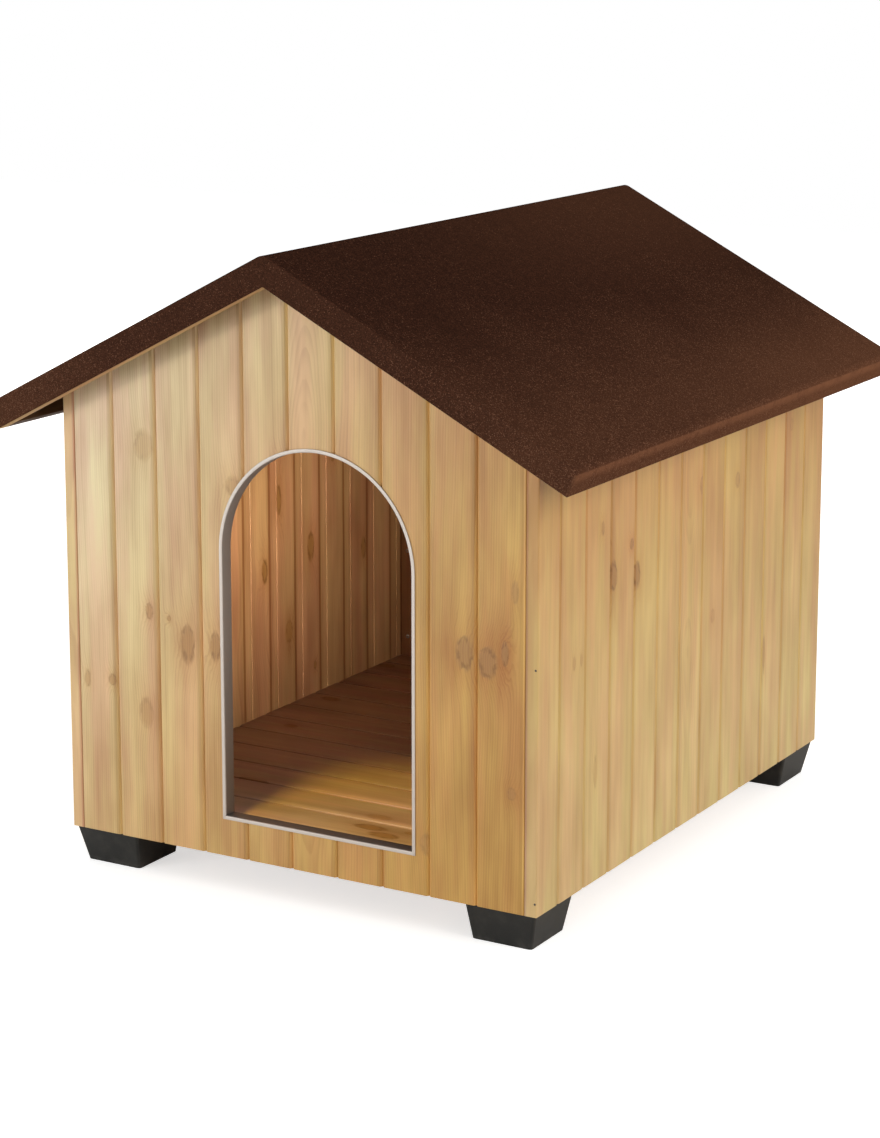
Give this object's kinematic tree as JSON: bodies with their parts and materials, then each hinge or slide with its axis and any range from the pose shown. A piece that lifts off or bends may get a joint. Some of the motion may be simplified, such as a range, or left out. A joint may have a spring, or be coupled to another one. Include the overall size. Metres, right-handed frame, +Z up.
{
  "type": "dog house",
  "caption": "Wooden dog house of matchboard walls with an arched, metal-edged doorway, tapered plastic feet and a felted gable roof that hinges open along one wall.",
  "frame": {"origin": "on the ground, midway between the feet and under the middle of the roof", "axes": "+X to the right seen from the front, +Y from the door to the back, +Z up"},
  "size_m": [0.8948, 1.018, 0.8752],
  "materials": {
    "pine_boards": "satin honey-coloured wood stain",
    "frame_wood": "planed softwood, oiled",
    "roof_plywood": "matt plywood, stained dark brown",
    "roof_felt": "mineral-surfaced bitumen felt, matt and granular",
    "edging_aluminium": "satin",
    "foot_plastic": "matt, lightly textured",
    "zinc_steel": "bright zinc plate"
  },
  "bodies": {
    "cabin": {"back_wall": "pine_boards", "door_edging_arch": "edging_aluminium", "door_edging_sill": "edging_aluminium", "floor_panel": "pine_boards", "foot_back_left": "foot_plastic", "foot_back_right": "foot_plastic", "foot_front_left": "foot_plastic", "foot_front_right": "foot_plastic", "front_board_1": "pine_boards", "front_board_10": "pine_boards", "front_board_2": "pine_boards", "front_board_3": "pine_boards", "front_board_4": "pine_boards", "front_board_5_lower": "pine_boards", "front_board_5_upper": "pine_boards", "front_board_6_lower": "pine_boards", "front_board_6_upper": "pine_boards", "front_board_7_lower": "pine_boards", "front_board_7_upper": "pine_boards", "front_board_8": "pine_boards", "front_board_9": "pine_boards", "front_bottom_rail": "frame_wood", "front_gable_batten_left": "frame_wood", "front_gable_batten_right": "frame_wood", "front_post_left": "frame_wood", "front_post_right": "frame_wood", "hinge_wall_leaf_1": "zinc_steel", "hinge_wall_leaf_2": "zinc_steel", "left_wall": "pine_boards", "right_board_1": "pine_boards", "right_board_10": "pine_boards", "right_board_11": "pine_boards", "right_board_12": "pine_boards", "right_board_13": "pine_boards", "right_board_2": "pine_boards", "right_board_3": "pine_boards", "right_board_4": "pine_boards", "right_board_5": "pine_boards", "right_board_6": "pine_boards", "right_board_7": "pine_boards", "right_board_8": "pine_boards", "right_board_9": "pine_boards", "right_bottom_rail": "frame_wood", "right_top_rail": "frame_wood"},
    "roof": {"back_verge_left": "frame_wood", "back_verge_right": "frame_wood", "eave_board_left": "frame_wood", "eave_board_right": "frame_wood", "front_verge_left": "frame_wood", "front_verge_right": "frame_wood", "hinge_roof_leaf_1": "zinc_steel", "hinge_roof_leaf_2": "zinc_steel", "prop_bracket": "zinc_steel", "prop_clip": "zinc_steel", "ridge_beam": "frame_wood", "roof_deck_left": "roof_plywood", "roof_deck_right": "roof_plywood", "roof_felt": "roof_felt"},
    "prop_rod": {"prop_rod": "zinc_steel"}
  },
  "joints": [
    {"name": "roof_hinge", "type": "hinge", "parent": "cabin", "child": "roof", "pos_m": [-0.3693, 0, 0.65758], "axis": [0, -1, 0], "range_deg": [0, 50]},
    {"name": "prop_rod_pivot", "type": "hinge", "parent": "roof", "child": "prop_rod", "pos_m": [0.302, -0.3, 0.68478], "axis": [-0.9143, 0, 0.405], "range_deg": [0, 90]}
  ]
}
